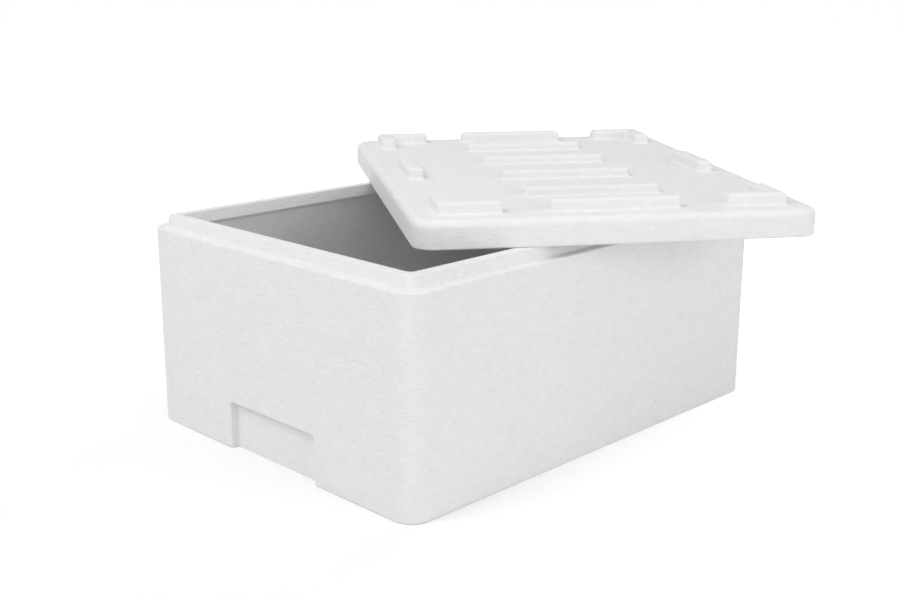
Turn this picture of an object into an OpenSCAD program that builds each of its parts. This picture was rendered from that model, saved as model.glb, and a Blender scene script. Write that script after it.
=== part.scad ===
// Insulated box moulded in expanded foam, with its loose lid laid askew on the open rim.
// Units are millimetres. The origin is the middle of the box's underside, with X along the
// long sides and Z up. The lid fits the rim when it is turned straight and pushed down.

/* [Box] */
// Length over the outside faces, shared by the lid
box_l = 400; // [340:5:600]
// Width over the outside faces, shared by the lid
box_w = 300; // [260:5:400]
// Height from the underside to the ledge round the rim
ledge_z = 160; // [90:5:300]
// Thickness of the side walls
wall_t = 18; // [14:1:30]
// Thickness of the floor
floor_t = 20; // [12:1:40]
// Radius of the upright outside corners of box and lid
corner_r = 16; // [13:1:30]
// Rounding of the outside edge under the box
foot_r = 3; // [1:0.5:8]
// Rounding of the ledge's outer edge
ledge_r = 1.5; // [0.5:0.5:3]
// Radius of the tightest inside corner
inner_r = 1.5; // [1:0.5:12]
// Rounding between the inside walls and the floor
floor_r = 4; // [1:0.5:12]

/* [Rim] */
// Width of the ledge outside the lip
ledge_w = 8; // [5:0.5:9]
// Height of the lip above the ledge
lip_h = 9; // [4:0.5:14]
// Thickness of the lip at its top
lip_t = 8; // [5:0.5:16]
// How far the lip's outer face leans in over its height
lip_lean_out = 2; // [0.5:0.5:3]
// How far the lip's inner face leans over its height
lip_lean_in = 3; // [0.5:0.5:4]
// Height of the slope from the lip's foot to the inside wall
under_h = 3; // [1:0.5:8]

/* [Hand recess] */
// Width of the recess at the foot of each end
recess_w = 100; // [60:5:160]
// Height of the recess above the underside
recess_h = 38; // [20:1:70]
// Depth of the recess in the wall
recess_d = 6; // [4.5:0.5:10]
// Radius of the recess's upper corners
recess_r = 3; // [1:0.5:8]

/* [Lid] */
// Thickness of the slab without its pads
lid_t = 21; // [17:1:40]
// Rounding of the slab's upper edge
lid_top_r = 6; // [2:0.5:8]
// Rounding of the slab's lower edge
lid_foot_r = 1.5; // [0.5:0.5:3]
// Gap between the lip and its groove in the lid
fit_gap = 1; // [0.3:0.1:2]

/* [Lid pads] */
// Distance of the pads from the lid's edges
pad_inset = 19; // [12:1:30]
// Height of the pads
pad_h = 9; // [3:0.5:15]
// Width of the pads
pad_w = 14; // [10:1:25]
// Radius of the corners of pads and ribs
pad_r = 3; // [1:0.5:4]
// Length of a corner pad's leg along the lid's end
end_leg_l = 48; // [30:1:60]
// Length of a corner pad's leg along the lid's side
side_leg_l = 44; // [30:1:70]
// Length of the middle pad at each end
end_pad_l = 98; // [40:2:130]
// Length of the middle pad at each side
side_pad_l = 66; // [40:2:200]

/* [Lid ribs] */
// Number of cross ribs
rib_count = 4; // [1:1:5]
// Distance between neighbouring ribs
rib_pitch = 76.5; // [50:0.5:80]
// Length of a rib
rib_l = 108; // [40:2:160]
// Width of a rib
rib_w = 12; // [8:1:30]
// Height of a rib
rib_h = 7; // [3:0.5:12]

/* [Lid placing] */
// Shift of the lid's middle along the box
lid_x = 97; // [60:1:120]
// Shift of the lid's middle across the box
lid_y = -15; // [-30:1:30]
// Turn of the lid away from straight
lid_turn = 54.8; // [0:0.1:60]

/* [Hidden] */
$fn = 72;
// Overshoot of a cut past the face that it opens
cut = 2;
foam = [0.94, 0.94, 0.93];

rim_z = ledge_z + lip_h;
groove_h = lip_h + fit_gap;
// Insets from the outside faces to the lip's inner face, at its top and at its foot
lip_top_in = ledge_w + lip_lean_out + lip_t;
lip_foot_in = lip_top_in + lip_lean_in;
// Insets from the outside faces to the corner axes of the cavity and of the lid's plug
cavity_axis = max(lip_foot_in, wall_t) + inner_r;
plug_axis = lip_foot_in + fit_gap + inner_r;
// The cavity's floor rounding stays within its corner radius
cavity_floor_r = min(floor_r, cavity_axis - wall_t);

// Inset of the lip's outer face at a height above the ledge
function lip_outer(z) = ledge_w + lip_lean_out * z / lip_h;
// Inset of the lip's inner face at a height above the ledge
function lip_inner(z) = lip_foot_in - lip_lean_in * z / lip_h;

// Half section from a corner's axis outwards, with rounded lower and upper outer edges
module edge_section(r, h, low_r, top_r) {
    translate([0, low_r]) square([r, h - low_r - top_r]);
    square([r - low_r, h - top_r]);
    translate([0, low_r]) square([r - top_r, h - low_r]);
    translate([r - low_r, low_r]) circle(low_r);
    translate([r - top_r, h - top_r]) circle(top_r);
}

// Sweeps a half section round a rectangle of corner axes and fills the middle
module sweep_round(axis_l, axis_w, low_z, h) {
    for (sx = [0, 1], sy = [0, 1])
        mirror([sx, 0, 0]) mirror([0, sy, 0])
            translate([axis_l / 2, axis_w / 2, 0]) rotate_extrude(angle = 90) children();
    for (s = [0, 1]) mirror([0, s, 0])
        translate([-axis_l / 2, axis_w / 2, 0])
            rotate([90, 0, 90]) linear_extrude(axis_l) children();
    for (s = [0, 1]) mirror([s, 0, 0])
        translate([axis_l / 2, axis_w / 2, 0])
            rotate([90, 0, 0]) linear_extrude(axis_w) children();
    translate([-axis_l / 2, -axis_w / 2, low_z]) cube([axis_l, axis_w, h]);
}

// Upright slab with rounded corners and edges, standing on z = 0
module rounded_slab(l, w, h, r, low_r, top_r) {
    sweep_round(l - 2 * r, w - 2 * r, 0, h) edge_section(r, h, low_r, top_r);
}

// Slab with a leaning side wall, standing on z = 0
module leaning_slab(axis_in, low_in, top_in, h) {
    sweep_round(box_l - 2 * axis_in, box_w - 2 * axis_in, 0, h)
        polygon([[0, 0], [axis_in - low_in, 0], [axis_in - top_in, h], [0, h]]);
}

// Half section of the hollow inside, from the corner's axis outwards
module cavity_section() {
    wall_r = cavity_axis - wall_t;
    low_z = floor_t + cavity_floor_r;
    square_r = wall_r - cavity_floor_r;
    polygon([
        [0, low_z],
        [wall_r, low_z],
        [wall_r, ledge_z - under_h],
        [cavity_axis - lip_foot_in, ledge_z],
        [cavity_axis - lip_top_in, rim_z],
        [cavity_axis - lip_top_in, rim_z + cut],
        [0, rim_z + cut]
    ]);
    if (square_r > 0) translate([0, floor_t]) square([square_r, cavity_floor_r]);
    intersection() {
        translate([square_r, low_z]) circle(cavity_floor_r);
        translate([0, floor_t]) square([wall_r, cavity_floor_r]);
    }
}

module cavity() {
    sweep_round(box_l - 2 * cavity_axis, box_w - 2 * cavity_axis, floor_t, rim_z + cut - floor_t)
        cavity_section();
}

// Outline of the hand recess, open at the foot
module recess_outline() {
    square([recess_w, 2 * (recess_h - recess_r)], center = true);
    square([recess_w - 2 * recess_r, 2 * recess_h], center = true);
    for (s = [-1, 1])
        translate([s * (recess_w / 2 - recess_r), recess_h - recess_r]) circle(recess_r);
}

module hand_recess() {
    translate([box_l / 2 - recess_d, 0, 0])
        rotate([90, 0, 90]) linear_extrude(recess_d + cut) recess_outline();
}

// Ring-shaped groove under the lid's slab, which the lip enters when the lid is closed
module groove() {
    difference() {
        translate([0, 0, -cut]) union() {
            leaning_slab(corner_r, lip_outer(0) - fit_gap, lip_outer(0) - fit_gap, cut);
            translate([0, 0, cut])
                leaning_slab(corner_r, lip_outer(0) - fit_gap, lip_outer(groove_h) - fit_gap, groove_h);
        }
        translate([0, 0, -2 * cut])
            leaning_slab(plug_axis, lip_inner(0) + fit_gap, lip_inner(0) + fit_gap, 2 * cut);
        leaning_slab(plug_axis, lip_inner(0) + fit_gap, lip_inner(groove_h) + fit_gap, groove_h + cut);
    }
}

// Outline of a pad or rib with rounded corners, its middle at the origin
module pad_outline(l, w) {
    square([l, w - 2 * pad_r], center = true);
    square([l - 2 * pad_r, w], center = true);
    for (sx = [-1, 1], sy = [-1, 1])
        translate([sx * (l / 2 - pad_r), sy * (w / 2 - pad_r)]) circle(pad_r);
}

// Outline of the angled pad at the corner with positive x and y
module corner_pad_outline() {
    outer_x = box_l / 2 - pad_inset;
    outer_y = box_w / 2 - pad_inset;
    translate([outer_x - pad_w / 2, outer_y - end_leg_l / 2]) pad_outline(pad_w, end_leg_l);
    translate([outer_x - side_leg_l / 2, outer_y - pad_w / 2]) pad_outline(side_leg_l, pad_w);
}

module pads() {
    linear_extrude(pad_h) {
        for (sx = [0, 1], sy = [0, 1]) mirror([sx, 0]) mirror([0, sy]) corner_pad_outline();
        for (s = [-1, 1]) {
            translate([s * (box_l / 2 - pad_inset - pad_w / 2), 0]) pad_outline(pad_w, end_pad_l);
            translate([0, s * (box_w / 2 - pad_inset - pad_w / 2)]) pad_outline(side_pad_l, pad_w);
        }
    }
}

module ribs() {
    linear_extrude(rib_h)
        for (i = [0 : rib_count - 1])
            translate([(i - (rib_count - 1) / 2) * rib_pitch, 0]) pad_outline(rib_w, rib_l);
}

module box() {
    color(foam) difference() {
        union() {
            rounded_slab(box_l, box_w, ledge_z, corner_r, foot_r, ledge_r);
            translate([0, 0, ledge_z]) leaning_slab(corner_r, lip_outer(0), lip_outer(lip_h), lip_h);
        }
        cavity();
        for (s = [0, 1]) mirror([s, 0, 0]) hand_recess();
    }
}

module lid() {
    color(foam) translate([lid_x, lid_y, rim_z]) rotate([0, 0, lid_turn]) {
        difference() {
            rounded_slab(box_l, box_w, lid_t, corner_r, lid_foot_r, lid_top_r);
            groove();
        }
        translate([0, 0, lid_t]) {
            pads();
            ribs();
        }
    }
}

box();
lid();
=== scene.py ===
import math

import bmesh
import bpy
from mathutils import Matrix, Vector


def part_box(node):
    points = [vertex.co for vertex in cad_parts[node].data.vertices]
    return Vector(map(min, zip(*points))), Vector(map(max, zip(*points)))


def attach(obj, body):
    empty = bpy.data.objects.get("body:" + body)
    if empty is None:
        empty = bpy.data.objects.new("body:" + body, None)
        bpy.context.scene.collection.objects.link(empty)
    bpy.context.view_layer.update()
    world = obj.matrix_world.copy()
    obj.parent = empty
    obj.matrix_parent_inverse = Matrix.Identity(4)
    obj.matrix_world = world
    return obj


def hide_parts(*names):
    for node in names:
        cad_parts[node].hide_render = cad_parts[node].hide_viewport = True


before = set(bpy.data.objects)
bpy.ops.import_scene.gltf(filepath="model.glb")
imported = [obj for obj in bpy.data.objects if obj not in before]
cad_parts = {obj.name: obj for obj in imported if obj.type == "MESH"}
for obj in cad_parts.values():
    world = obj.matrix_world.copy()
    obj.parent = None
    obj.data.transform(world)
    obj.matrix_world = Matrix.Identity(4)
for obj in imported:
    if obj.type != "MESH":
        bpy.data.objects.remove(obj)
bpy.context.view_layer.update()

# Sizes are in millimetres, and insets are measured inwards from the outside faces.
MM = 0.001
BOX_LOW, BOX_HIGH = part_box("box")
LENGTH = (BOX_HIGH[0] - BOX_LOW[0]) / MM
WIDTH = (BOX_HIGH[1] - BOX_LOW[1]) / MM
RIM_Z = BOX_HIGH[2] / MM
LEDGE_Z = 160
WALL = 18
FLOOR = 20
LEDGE_WIDTH = 8
LIP_HEIGHT = RIM_Z - LEDGE_Z
LIP_THICK = 8
LIP_LEAN_OUT = 2
LIP_LEAN_IN = 3
LIP_OUTER_TOP = LEDGE_WIDTH + LIP_LEAN_OUT
LIP_INNER_TOP = LIP_OUTER_TOP + LIP_THICK
LIP_INNER_FOOT = LIP_INNER_TOP + LIP_LEAN_IN
UNDER_HEIGHT = 3

# Radii of the box's edges, from its foot over the lip to its floor
FOOT_ROUND = 1.5
LEDGE_ROUND = 1.5
LIP_FOOT_ROUND = 1
LIP_OUTER_ROUND = 1.2
LIP_INNER_ROUND = 1
LIP_UNDER_ROUND = 0.6
WALL_TOP_ROUND = 0.8
FLOOR_ROUND = 4

# Flat stretches beside the lip's top edges and beside the walls on the floor
LIP_TOP_REACH = 2.5
FLOOR_REACH = 12

# Gap between the lip and its groove in the lid
FIT_GAP = 1

# Insets of the axes that the upright corners turn about: outside, in the cavity and on the lid's plug
INNER_CORNER = 1.5
CORNER_AXIS = 16
CAVITY_AXIS = max(LIP_INNER_FOOT, WALL) + INNER_CORNER
PLUG_AXIS = LIP_INNER_FOOT + FIT_GAP + INNER_CORNER

# Hand recess at the foot of each end
RECESS_HALF = 50
RECESS_TOP = 38
RECESS_DEPTH = 6
RECESS_CORNER = 3
RECESS_DRAFT = 0.3
RECESS_EDGE_ROUND = 1
RECESS_BACK_ROUND = 0.8
# Reach of the rounded rim outside and inside the recess's outline
RECESS_MARGIN = 1.2

# Lid
LID_LOW, LID_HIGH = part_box("lid")
LID_X = (LID_LOW[0] + LID_HIGH[0]) / 2 / MM
LID_Y = (LID_LOW[1] + LID_HIGH[1]) / 2 / MM
LID_Z = LID_LOW[2] / MM
LID_TURN = math.radians(54.8)
PAD_HEIGHT = 9
RIB_HEIGHT = 7
LID_THICK = (LID_HIGH[2] - LID_LOW[2]) / MM - PAD_HEIGHT
LID_TOP_ROUND = 6
LID_FOOT_ROUND = 1.5
# Inset of the top face's border, inside its rounding
LID_TOP_BORDER = 13

# Groove in the lid for the lip, and the flat stretches beside its end and on the plug inside it
GROOVE_EDGE_ROUND = 0.8
GROOVE_END_ROUND = 1
GROOVE_END_REACH = 3
PLUG_REACH = 14
GROOVE_DEPTH = LIP_HEIGHT + FIT_GAP
GROOVE_OUTER_FOOT = LEDGE_WIDTH - FIT_GAP
GROOVE_OUTER_END = GROOVE_OUTER_FOOT + LIP_LEAN_OUT * GROOVE_DEPTH / LIP_HEIGHT
GROOVE_INNER_FOOT = LIP_INNER_FOOT + FIT_GAP
GROOVE_INNER_END = GROOVE_INNER_FOOT - LIP_LEAN_IN * GROOVE_DEPTH / LIP_HEIGHT

# Pads and ribs on the lid
PAD_INSET = 19
PAD_WIDTH = 14
PAD_CORNER = 3
SMALLEST_CORNER = 0.2
BOSS_DRAFT = 0.7
BOSS_FOOT_ROUND = 1.8
BOSS_TOP_ROUND = 3
# Reach of the foot outside a pad's outline, and of the rounded top inside it
BOSS_FOOT_REACH = 2.4
BOSS_TOP_REACH = 4.6
END_LEG = 48
SIDE_LEG = 44
END_PAD = 98
SIDE_PAD = 66
RIB_COUNT = 4
RIB_PITCH = 76.5
RIB_LENGTH = 108
RIB_WIDTH = 12

# Fineness of the meshes
COLUMN_STEP = 6
ROW_STEP = 9
CORNER_STEPS = 14
ARC_STEPS = 5
TOLERANCE = 0.01

# Foam's finish
FOAM_COLOUR = 0.8
FOAM_SPREAD = 0.02
FOAM_ROUGHNESS = 0.7
FOAM_SPECULAR = 0.3

# Bead pattern: width of a bead, how much lower than wide it is, height of its dome, and share of a bead
# over which the dome rises from the seam
BEAD = 5
BEAD_SQUASH = 1.7
BEAD_RELIEF = 0.08
BEAD_CROWN = 0.35
# Share of the beads that stand proud, and how much higher the highest of them is
PROUD_SHARE = 0.2
PROUD_GAIN = 3.5
# Fine grain on the beads, as its scale and its share of a bead's height
GRAIN_SCALE = 900
GRAIN_SHARE = 0.3

# Light: even from all round, with soft lamps as (name, place in metres, size, power)
WORLD_STRENGTH = 0.45
# The floor's own glow, as (near distance, far distance, strength near, strength far) about its middle. The glow
# is weakest near the object, so it paints shade on the floor round the object's foot, on top of the real
# shadow.
FLOOR_GLOW_AND_PAINTED_SHADE = (0.14, 0.88, 0.165, 0.88)
# The floor's middle, which is also the middle of the painted shade round the object's foot
FLOOR_MIDDLE = (-0.28, -0.03, 0)
FLOOR_SIZE = 12
FLOOR_COLOUR = (0.8, 0.8, 0.8, 1)
WHITE = (1, 1, 1, 1)
LAMP_TARGET = (0, 0, 0.1)
LAMPS = (
    ("left", (-1.7, 0.3, 1.9), 1.5, 26.5),
    ("overhead", (0, 0, 2.4), 2.5, 11.5),
    ("right", (0.2, -2.6, 0.5), 2, 28.5),
    ("front", (-1.9, -1.9, 0.6), 2, 4.5),
)

# Camera, as fitted to the photograph
CAMERA_PLACE = (-718.19, -701.63, 364.65)
CAMERA_PITCH = math.radians(15.32)
CAMERA_YAW = math.radians(45.13)
CAMERA_ROLL = math.radians(0.16)
CAMERA_LENS = 50.02
SENSOR_WIDTH = 36


def round_corners(points, radii):
    """The outline with each corner of a radius above 0 replaced by an arc; an open line's ends have 0."""
    out = []
    for i, (point, radius) in enumerate(zip(points, radii)):
        here = Vector(point)
        if radius <= 0:
            out.append(here)
            continue
        back = (Vector(points[i - 1]) - here).normalized()
        ahead = (Vector(points[(i + 1) % len(points)]) - here).normalized()
        half = back.angle(ahead) / 2
        centre = here + (back + ahead).normalized() * radius / math.sin(half)
        start = here + back * radius / math.tan(half) - centre
        end = here + ahead * radius / math.tan(half) - centre
        first = math.atan2(start.y, start.x)
        sweep = math.remainder(math.atan2(end.y, end.x) - first, math.tau)
        for k in range(ARC_STEPS + 1):
            angle = first + sweep * k / ARC_STEPS
            out.append(centre + Vector((math.cos(angle), math.sin(angle))) * radius)
    return out


def subdivided(points, step):
    """The polyline with its long pieces split into equal ones no longer than step."""
    out = [points[0]]
    for a, b in zip(points, points[1:]):
        pieces = max(1, math.ceil((b - a).length / step))
        out += [a + (b - a) * k / pieces for k in range(1, pieces + 1)]
    return out


def split_range(stops, step):
    """Rising values through all the stops, no further than step apart."""
    return [point.x for point in subdivided([Vector((stop, 0)) for stop in stops], step)]


class Columns:
    """Upright columns of vertices round a rounded rectangle, counter-clockwise from its near left corner."""

    def __init__(self, end_stops=()):
        self.half_x = LENGTH / 2 - CORNER_AXIS
        self.half_y = WIDTH / 2 - CORNER_AXIS
        xs = [x / self.half_x for x in split_range([-self.half_x, self.half_x], COLUMN_STEP)]
        ys = [y / self.half_y for y in split_range([-self.half_y, *end_stops, self.half_y], COLUMN_STEP)]
        self.items = []
        for side, shares in enumerate((xs, ys, xs, ys)):
            self.items += [(side, False, share) for share in shares]
            self.items += [(side, True, k / CORNER_STEPS) for k in range(1, CORNER_STEPS)]

    def place(self, item, inset, axis):
        """Level place of a column at an inset, where the corners turn about an axis at its own inset."""
        side, is_corner, share = item
        half = Vector((LENGTH / 2 - axis, WIDTH / 2 - axis))
        along, across = (half.x, half.y) if side % 2 == 0 else (half.y, half.x)
        reach = axis - inset
        if is_corner:
            angle = share * math.pi / 2
            local = Vector((along + reach * math.sin(angle), -across - reach * math.cos(angle)))
        else:
            local = Vector((along * share, -across - reach))
        return Matrix.Rotation(side * math.pi / 2, 2) @ local

    def row(self, mesh, inset, z, axis):
        """One level row of vertices all round."""
        return [mesh.verts.new((*self.place(item, inset, axis), z)) for item in self.items]

    def at(self, side, along):
        """Number of the column of an end, side 1 or 3, at a distance along that end."""
        wanted = (side, False, along / self.half_y)
        return min((n for n, item in enumerate(self.items) if item[:2] == wanted[:2]),
                   key=lambda n: abs(self.items[n][2] - wanted[2]))


def skin(mesh, lower, upper, skipped=()):
    """Quads between two closed rows of vertices, apart from the skipped columns."""
    for i in range(len(lower)):
        k = (i + 1) % len(lower)
        if i not in skipped:
            mesh.faces.new((lower[i], lower[k], upper[k], upper[i]))


def finish_piece(mesh, name, node, material, place):
    """Turns a mesh in millimetres into a smooth piece that stands for a node and rides with the object."""
    bmesh.ops.recalc_face_normals(mesh, faces=mesh.faces)
    mesh.transform(Matrix.Scale(MM, 4) @ place)
    data = bpy.data.meshes.new(name)
    mesh.to_mesh(data)
    mesh.free()
    data.shade_smooth()
    data.materials.append(material)
    piece = bpy.data.objects.new(name, data)
    bpy.context.scene.collection.objects.link(piece)
    normals = piece.modifiers.new("normals", "WEIGHTED_NORMAL")
    normals.weight = 100
    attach(piece, "root")
    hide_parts(node)


def box_sections():
    """The box's half section as two lists of (inset, height): outside, and inside down to the floor."""
    outside = round_corners(
        [(CAVITY_AXIS, 0), (0, 0), (0, RECESS_TOP - RECESS_CORNER), (0, RECESS_TOP + RECESS_MARGIN),
         (0, LEDGE_Z), (LEDGE_WIDTH, LEDGE_Z), (LIP_OUTER_TOP, RIM_Z), (LIP_OUTER_TOP + LIP_TOP_REACH, RIM_Z)],
        [0, FOOT_ROUND, 0, 0, LEDGE_ROUND, LIP_FOOT_ROUND, LIP_OUTER_ROUND, 0])
    inside = round_corners(
        [(LIP_INNER_TOP - LIP_TOP_REACH, RIM_Z), (LIP_INNER_TOP, RIM_Z), (LIP_INNER_FOOT, LEDGE_Z),
         (WALL, LEDGE_Z - UNDER_HEIGHT), (WALL, FLOOR), (WALL + FLOOR_REACH, FLOOR)],
        [0, LIP_INNER_ROUND, LIP_UNDER_ROUND, WALL_TOP_ROUND, FLOOR_ROUND, 0])
    return outside, inside


def recess_profile():
    """The recess's edge as (distance outside its outline, depth), from the wall's face to the recess's back."""
    return round_corners(
        [(RECESS_MARGIN, 0), (0, 0), (-RECESS_DRAFT, RECESS_DEPTH), (-RECESS_MARGIN, RECESS_DEPTH)],
        [0, RECESS_EDGE_ROUND, RECESS_BACK_ROUND, 0])


def build_box(material):
    """The box: a skin of rows round its section, with a recess let into each end."""
    mesh = bmesh.new()
    stops = (-RECESS_HALF - RECESS_MARGIN, -RECESS_HALF + RECESS_CORNER,
             RECESS_HALF - RECESS_CORNER, RECESS_HALF + RECESS_MARGIN)
    columns = Columns(stops)
    outside, inside = box_sections()
    outside = subdivided(outside, ROW_STEP)
    inside = subdivided(inside, ROW_STEP)
    rows = [columns.row(mesh, inset, z, max(CORNER_AXIS, inset)) for inset, z in outside]
    inner = [columns.row(mesh, inset, z, max(CAVITY_AXIS, inset)) for inset, z in inside]
    under = max(j for j, point in enumerate(outside) if point.y < TOLERANCE)
    side_top = RECESS_TOP - RECESS_CORNER + TOLERANCE
    side_rows = [j for j, point in enumerate(outside) if j >= under and point.y <= side_top]
    skipped = {}
    for side in (1, 3):
        left, right = columns.at(side, stops[0]), columns.at(side, stops[3])
        for j in range(under - 1, side_rows[-1] + 1):
            skipped.setdefault(j, set()).update(range(left, right))
        cut_recess(mesh, columns, rows, outside, side, stops, side_rows)
    for j in range(len(rows) - 1):
        skin(mesh, rows[j], rows[j + 1], skipped.get(j, ()))
    skin(mesh, rows[-1], inner[0])
    for lower, upper in zip(inner, inner[1:]):
        skin(mesh, lower, upper)
    mesh.faces.new(rows[0])
    mesh.faces.new(inner[-1])
    finish_piece(mesh, "foam_box", "box", material, Matrix())


def cut_recess(mesh, columns, rows, section, side, stops, side_rows):
    """Lets the recess into one end: its back, its rounded rim, and the underside between them."""
    turn = Matrix.Rotation(side * math.pi / 2, 2)
    outline = recess_profile()
    low, high = side_rows[0], side_rows[-1]
    first, second, third, fourth = (columns.at(side, stop) for stop in stops)

    def vertex(along, depth, z):
        return mesh.verts.new((*(turn @ Vector((along, depth - LENGTH / 2))), z))

    back = {j: [vertex(columns.items[n][2] * columns.half_y, RECESS_DEPTH, section[j].y)
                for n in range(second, third + 1)] for j in side_rows}
    for j in side_rows[:-1]:
        for i in range(third - second):
            mesh.faces.new((back[j][i], back[j][i + 1], back[j + 1][i + 1], back[j + 1][i]))

    corner_z = section[high].y
    rims = []
    for hand, outer_column, inner_column in ((-1, first, second), (1, fourth, third)):
        corner_along = hand * (RECESS_HALF - RECESS_CORNER)
        side_rim = []
        for j in side_rows:
            strip = [rows[j][outer_column]]
            for distance, depth in outline[1:]:
                deep = max(section[j].x, depth)
                strip.append(vertex(hand * (RECESS_HALF + distance), deep, section[j].y))
            side_rim.append(strip)
        for k in range(1, ARC_STEPS + 1):
            angle = math.pi / 2 * k / ARC_STEPS
            strip = []
            for distance, depth in outline:
                radius = RECESS_CORNER + distance
                if k == ARC_STEPS and distance == outline[0].x:
                    strip.append(rows[high + 1][inner_column])
                else:
                    strip.append(vertex(corner_along + hand * radius * math.cos(angle), depth,
                                        corner_z + radius * math.sin(angle)))
            side_rim.append(strip)
        for lower, upper in zip(side_rim, side_rim[1:]):
            for a in range(len(outline) - 1):
                mesh.faces.new((lower[a], lower[a + 1], upper[a + 1], upper[a]))
        edge = 0 if hand < 0 else -1
        centre = back[high][edge]
        for j, strip, above in zip(side_rows, side_rim, side_rim[1:]):
            if j < high:
                mesh.faces.new((strip[-1], back[j][edge], back[j + 1][edge], above[-1]))
        arc = side_rim[len(side_rows) - 1:]
        for a, b in zip(arc, arc[1:]):
            mesh.faces.new((a[-1], centre, b[-1]))
            mesh.faces.new((a[0], b[0], rows[high + 1][outer_column]))
        rims.append(side_rim)

    top = [rims[0][-1]]
    for n in range(second + 1, third):
        along = columns.items[n][2] * columns.half_y
        strip = [rows[high + 1][n]]
        strip += [vertex(along, depth, RECESS_TOP + distance) for distance, depth in outline[1:]]
        top.append(strip)
    top.append(rims[1][-1])
    for i, (a, b) in enumerate(zip(top, top[1:])):
        for k in range(len(outline) - 1):
            mesh.faces.new((a[k], b[k], b[k + 1], a[k + 1]))
        mesh.faces.new((a[-1], b[-1], back[high][i + 1], back[high][i]))

    under = [rows[low - 1][n] for n in range(first, fourth + 1)]
    under += rims[1][0] + back[low][::-1] + rims[0][0][::-1]
    mesh.faces.new(under)


def offset_outline(corners, convex, radius, distance):
    """A right-angled outline with rounded corners, grown outwards by a distance."""
    count = len(corners)
    moved = []
    radii = []
    for i in range(count):
        here, before, after = (Vector(corners[n % count]) for n in (i, i - 1, i + 1))
        for edge in (here - before, after - here):
            edge.normalize()
            here = here + Vector((edge.y, -edge.x)) * distance
        moved.append(here)
        radii.append(max(SMALLEST_CORNER, radius + distance if convex[i] else radius - distance))
    return round_corners(moved, radii)


def rectangle(x, y, size_x, size_y):
    """Corners of a rectangle about its middle, counter-clockwise, and whether each is convex."""
    half_x, half_y = size_x / 2, size_y / 2
    corners = [(x - half_x, y - half_y), (x + half_x, y - half_y),
               (x + half_x, y + half_y), (x - half_x, y + half_y)]
    return corners, [True] * 4


def corner_pad(sx, sy):
    """Corners of the angled pad at one corner of the lid, counter-clockwise, and whether each is convex."""
    x, y = LENGTH / 2 - PAD_INSET, WIDTH / 2 - PAD_INSET
    corners = [(x, y), (x - SIDE_LEG, y), (x - SIDE_LEG, y - PAD_WIDTH), (x - PAD_WIDTH, y - PAD_WIDTH),
               (x - PAD_WIDTH, y - END_LEG), (x, y - END_LEG)]
    convex = [True, True, True, False, True, True]
    corners = [(sx * a, sy * b) for a, b in corners]
    if sx * sy < 0:
        corners.reverse()
        convex.reverse()
    return corners, convex


def lid_bosses():
    """Outline and height of every pad and rib on the lid."""
    middle_x = LENGTH / 2 - PAD_INSET - PAD_WIDTH / 2
    middle_y = WIDTH / 2 - PAD_INSET - PAD_WIDTH / 2
    for sx in (-1, 1):
        yield rectangle(sx * middle_x, 0, PAD_WIDTH, END_PAD), PAD_HEIGHT
        yield rectangle(0, sx * middle_y, SIDE_PAD, PAD_WIDTH), PAD_HEIGHT
        for sy in (-1, 1):
            yield corner_pad(sx, sy), PAD_HEIGHT
    for i in range(RIB_COUNT):
        yield rectangle((i - (RIB_COUNT - 1) / 2) * RIB_PITCH, 0, RIB_WIDTH, RIB_LENGTH), RIB_HEIGHT


def add_boss(mesh, outline, height):
    """Raises a pad or rib with a rounded top edge, and gives the edges of its foot."""
    corners, convex = outline
    profile = round_corners(
        [(BOSS_FOOT_REACH, 0), (0, 0), (-BOSS_DRAFT, height), (-BOSS_TOP_REACH, height)],
        [0, BOSS_FOOT_ROUND, BOSS_TOP_ROUND, 0])
    loops = []
    for distance, rise in profile:
        points = offset_outline(corners, convex, PAD_CORNER, distance)
        loops.append([mesh.verts.new((*point, LID_THICK + rise)) for point in points])
    for lower, upper in zip(loops, loops[1:]):
        skin(mesh, lower, upper)
    mesh.faces.new(loops[-1])
    foot = loops[0]
    return [mesh.edges.get((a, b)) for a, b in zip(foot, foot[1:] + foot[:1])]


def build_lid(material):
    """The lid: a skin of rows round its section, with pads and ribs raised on its top."""
    mesh = bmesh.new()
    columns = Columns()
    outside = round_corners(
        [(LID_TOP_BORDER, LID_THICK), (0, LID_THICK), (0, 0), (GROOVE_OUTER_FOOT, 0),
         (GROOVE_OUTER_END, GROOVE_DEPTH), (GROOVE_OUTER_END + GROOVE_END_REACH, GROOVE_DEPTH)],
        [0, LID_TOP_ROUND, LID_FOOT_ROUND, GROOVE_EDGE_ROUND, GROOVE_END_ROUND, 0])
    inside = round_corners(
        [(GROOVE_INNER_END - GROOVE_END_REACH, GROOVE_DEPTH), (GROOVE_INNER_END, GROOVE_DEPTH),
         (GROOVE_INNER_FOOT, 0), (GROOVE_INNER_FOOT + PLUG_REACH, 0)],
        [0, GROOVE_END_ROUND, GROOVE_EDGE_ROUND, 0])
    rows = [columns.row(mesh, inset, z, CORNER_AXIS) for inset, z in subdivided(outside, ROW_STEP)]
    rows += [columns.row(mesh, inset, z, max(PLUG_AXIS, inset)) for inset, z in subdivided(inside, ROW_STEP)]
    for lower, upper in zip(rows, rows[1:]):
        skin(mesh, lower, upper)
    mesh.faces.new(rows[-1])
    border = rows[0]
    rims = [mesh.edges.get((a, b)) for a, b in zip(border, border[1:] + border[:1])]
    for outline, height in lid_bosses():
        rims += add_boss(mesh, outline, height)
    bmesh.ops.triangle_fill(mesh, edges=rims, use_beauty=True)
    place = Matrix.Translation((LID_X, LID_Y, LID_Z)) @ Matrix.Rotation(LID_TURN, 4, "Z")
    finish_piece(mesh, "foam_lid", "lid", material, place)


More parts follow.
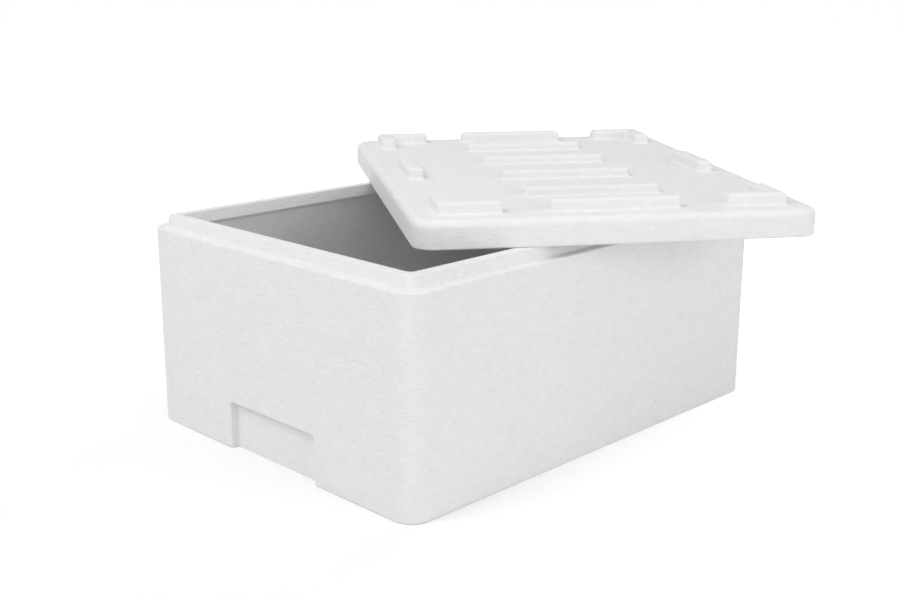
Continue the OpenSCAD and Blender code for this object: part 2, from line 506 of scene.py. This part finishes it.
def foam_material():
    """White expanded foam: fused beads with slightly sunken seams, some of them standing proud."""
    material = bpy.data.materials.new("moulded_foam")
    material.use_nodes = True
    nodes, links = material.node_tree.nodes, material.node_tree.links
    shader = nodes["Principled BSDF"]
    shader.inputs["Roughness"].default_value = FOAM_ROUGHNESS
    shader.inputs["Specular IOR Level"].default_value = FOAM_SPECULAR
    place = nodes.new("ShaderNodeTexCoord")
    squash = nodes.new("ShaderNodeVectorMath")
    squash.operation = "MULTIPLY"
    squash.inputs[1].default_value = (1, 1, BEAD_SQUASH)
    links.new(place.outputs["Object"], squash.inputs[0])

    cells = nodes.new("ShaderNodeTexVoronoi")
    cells.inputs["Scale"].default_value = 1 / (BEAD * MM)
    seams = nodes.new("ShaderNodeTexVoronoi")
    seams.feature = "DISTANCE_TO_EDGE"
    seams.inputs["Scale"].default_value = 1 / (BEAD * MM)
    grain = nodes.new("ShaderNodeTexNoise")
    grain.inputs["Scale"].default_value = GRAIN_SCALE
    for texture in (cells, seams, grain):
        links.new(squash.outputs["Vector"], texture.inputs["Vector"])

    chance = nodes.new("ShaderNodeSeparateColor")
    links.new(cells.outputs["Color"], chance.inputs["Color"])
    tint = nodes.new("ShaderNodeMapRange")
    tint.inputs["To Min"].default_value = FOAM_COLOUR * (1 - FOAM_SPREAD)
    tint.inputs["To Max"].default_value = FOAM_COLOUR * (1 + FOAM_SPREAD)
    links.new(chance.outputs["Green"], tint.inputs["Value"])
    links.new(tint.outputs["Result"], shader.inputs["Base Color"])

    dome = nodes.new("ShaderNodeMapRange")
    dome.interpolation_type = "SMOOTHSTEP"
    dome.inputs["From Max"].default_value = BEAD_CROWN
    links.new(seams.outputs["Distance"], dome.inputs["Value"])
    gain = nodes.new("ShaderNodeMapRange")
    gain.inputs["From Min"].default_value = 1 - PROUD_SHARE
    gain.inputs["To Min"].default_value = 1
    gain.inputs["To Max"].default_value = PROUD_GAIN
    links.new(chance.outputs["Red"], gain.inputs["Value"])
    beads = nodes.new("ShaderNodeMath")
    beads.operation = "MULTIPLY"
    links.new(dome.outputs["Result"], beads.inputs[0])
    links.new(gain.outputs["Result"], beads.inputs[1])
    height = nodes.new("ShaderNodeMath")
    height.operation = "MULTIPLY_ADD"
    height.inputs[1].default_value = GRAIN_SHARE
    links.new(grain.outputs["Fac"], height.inputs[0])
    links.new(beads.outputs["Value"], height.inputs[2])
    bump = nodes.new("ShaderNodeBump")
    bump.inputs["Strength"].default_value = 1
    bump.inputs["Distance"].default_value = BEAD_RELIEF * MM
    links.new(height.outputs["Value"], bump.inputs["Height"])
    links.new(bump.outputs["Normal"], shader.inputs["Normal"])
    return material


def seen_directly(nodes, links):
    """1 for rays from the camera and for what mirrors and glass show, 0 for light on the object."""
    path = nodes.new("ShaderNodeLightPath")
    total = path.outputs["Is Camera Ray"]
    for name in ("Is Glossy Ray", "Is Transmission Ray"):
        add = nodes.new("ShaderNodeMath")
        add.operation = "MAXIMUM"
        links.new(total, add.inputs[0])
        links.new(path.outputs[name], add.inputs[1])
        total = add.outputs["Value"]
    return total


def build_floor():
    """A wide pale floor that looks white but keeps the object's shadow; its glow is dimmed near the object,
    which paints shade round the object's foot.
    """
    material = bpy.data.materials.new("floor")
    material.use_nodes = True
    nodes, links = material.node_tree.nodes, material.node_tree.links
    nodes.remove(nodes["Principled BSDF"])
    matt = nodes.new("ShaderNodeBsdfDiffuse")
    matt.inputs["Color"].default_value = FLOOR_COLOUR
    glow = nodes.new("ShaderNodeEmission")
    glow.inputs["Color"].default_value = WHITE
    place = nodes.new("ShaderNodeTexCoord")
    reach = nodes.new("ShaderNodeVectorMath")
    reach.operation = "LENGTH"
    links.new(place.outputs["Object"], reach.inputs[0])
    # Glow that grows with the distance from the floor's middle: the dim glow near the object is painted shade
    # round its foot
    glow_with_painted_shade = nodes.new("ShaderNodeMapRange")
    for name, value in zip(("From Min", "From Max", "To Min", "To Max"), FLOOR_GLOW_AND_PAINTED_SHADE):
        glow_with_painted_shade.inputs[name].default_value = value
    links.new(reach.outputs["Value"], glow_with_painted_shade.inputs["Value"])
    strength = nodes.new("ShaderNodeMath")
    strength.operation = "MULTIPLY"
    links.new(seen_directly(nodes, links), strength.inputs[0])
    links.new(glow_with_painted_shade.outputs["Result"], strength.inputs[1])
    links.new(strength.outputs["Value"], glow.inputs["Strength"])
    both = nodes.new("ShaderNodeAddShader")
    links.new(matt.outputs["BSDF"], both.inputs[0])
    links.new(glow.outputs["Emission"], both.inputs[1])
    links.new(both.outputs["Shader"], nodes["Material Output"].inputs["Surface"])
    bpy.ops.mesh.primitive_plane_add(size=FLOOR_SIZE, location=FLOOR_MIDDLE)
    floor = bpy.context.object
    floor.name = "floor"
    floor.data.materials.append(material)


def light_world():
    """Even light from all round, seen as plain white behind the object."""
    world = bpy.data.worlds.new("studio")
    bpy.context.scene.world = world
    world.use_nodes = True
    nodes, links = world.node_tree.nodes, world.node_tree.links
    background = nodes["Background"]
    background.inputs["Color"].default_value = WHITE
    strength = nodes.new("ShaderNodeMapRange")
    strength.inputs["To Min"].default_value = WORLD_STRENGTH
    strength.inputs["To Max"].default_value = 1
    links.new(seen_directly(nodes, links), strength.inputs["Value"])
    links.new(strength.outputs["Result"], background.inputs["Strength"])


def add_lamp(name, place, size, power):
    """A soft square lamp that points at the middle of the object."""
    data = bpy.data.lights.new(name, "AREA")
    data.size = size
    data.energy = power
    lamp = bpy.data.objects.new(name, data)
    lamp.location = place
    aim = Vector(LAMP_TARGET) - Vector(place)
    lamp.rotation_euler = aim.to_track_quat("-Z", "Y").to_euler()
    bpy.context.scene.collection.objects.link(lamp)


def add_camera():
    """The camera at the photograph's place, angle and lens."""
    data = bpy.data.cameras.new("camera")
    data.sensor_width = SENSOR_WIDTH
    data.lens = CAMERA_LENS
    camera = bpy.data.objects.new("camera", data)
    turn = (Matrix.Rotation(-CAMERA_YAW, 4, "Z")
            @ Matrix.Rotation(math.pi / 2 - CAMERA_PITCH, 4, "X")
            @ Matrix.Rotation(CAMERA_ROLL, 4, "Z"))
    camera.matrix_world = Matrix.Translation(Vector(CAMERA_PLACE) * MM) @ turn
    bpy.context.scene.collection.objects.link(camera)
    bpy.context.scene.camera = camera


add_camera()
foam = foam_material()
build_box(foam)
build_lid(foam)
build_floor()
light_world()
for lamp in LAMPS:
    add_lamp(*lamp)
bpy.context.scene.view_settings.view_transform = "Standard"
